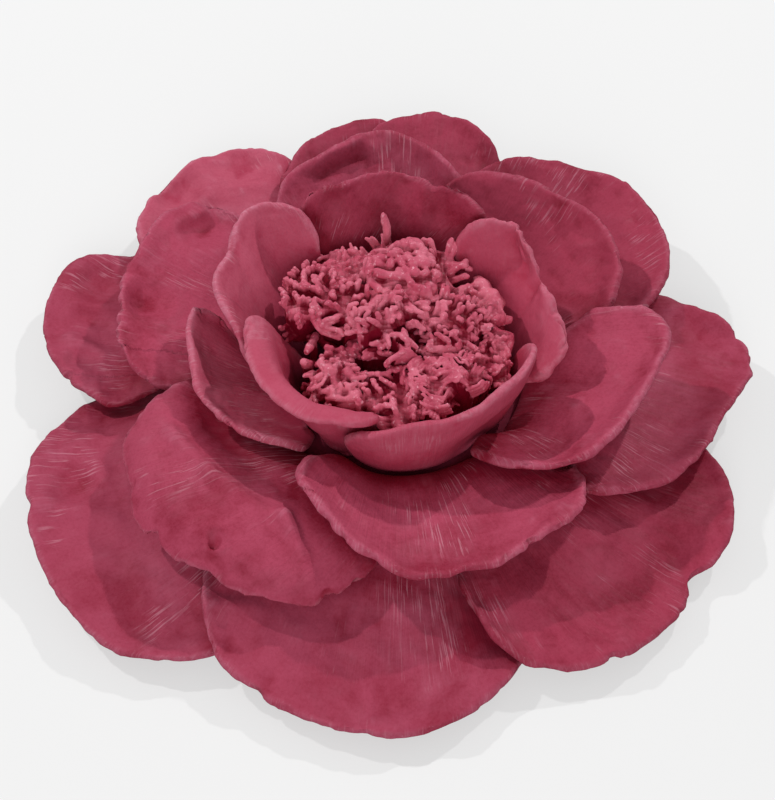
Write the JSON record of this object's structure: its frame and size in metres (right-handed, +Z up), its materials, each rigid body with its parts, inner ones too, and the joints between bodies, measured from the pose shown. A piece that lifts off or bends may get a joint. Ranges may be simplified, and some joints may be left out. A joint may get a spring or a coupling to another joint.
{
  "type": "modelled clay peony",
  "caption": "Decorative peony in matt rose clay: spread outer petals, rising middle petals and a cup of petals around a mass of pressed strands, on a flat hidden base.",
  "frame": {"origin": "centre of the flat underside of the base", "axes": "+Z up out of the flower's middle, -Y towards the front petal, +X to the right seen from the front"},
  "size_m": [0.2285, 0.2322, 0.0581],
  "materials": {
    "petal_clay": "matte",
    "stamen_clay": "matte",
    "base_clay": "matte"
  },
  "bodies": {
    "root": {"base": "base_clay", "outer_left_front": "petal_clay", "outer_front": "petal_clay", "outer_right_front": "petal_clay", "outer_right": "petal_clay", "outer_left": "petal_clay", "outer_upper_left": "petal_clay", "outer_back_left": "petal_clay", "outer_back": "petal_clay", "outer_upper_right": "petal_clay", "middle_back": "petal_clay", "middle_upper_right": "petal_clay", "middle_left": "petal_clay", "middle_left_front": "petal_clay", "middle_front": "petal_clay", "middle_right": "petal_clay", "inner_left": "petal_clay", "cup_back": "petal_clay", "cup_back_left": "petal_clay", "cup_back_right": "petal_clay", "cup_front_right": "petal_clay", "cup_front_left": "petal_clay", "stamen_bed": "stamen_clay", "stamen_crumb": "stamen_clay", "stamen_fan_left": "stamen_clay", "stamen_strands_left": "stamen_clay", "stamen_smear": "stamen_clay", "stamen_fan_right": "stamen_clay", "stamen_flat_right": "stamen_clay", "stamen_centre": "stamen_clay", "stamen_right": "stamen_clay", "stamen_pellets": "stamen_clay", "stamen_left_strand": "stamen_clay", "stamen_left_lump": "stamen_clay", "stamen_front_strands": "stamen_clay", "stamen_front_lump": "stamen_clay", "stamen_front_right": "stamen_clay", "stamen_back": "stamen_clay", "stamen_spike": "stamen_clay"}
  },
  "joints": []
}
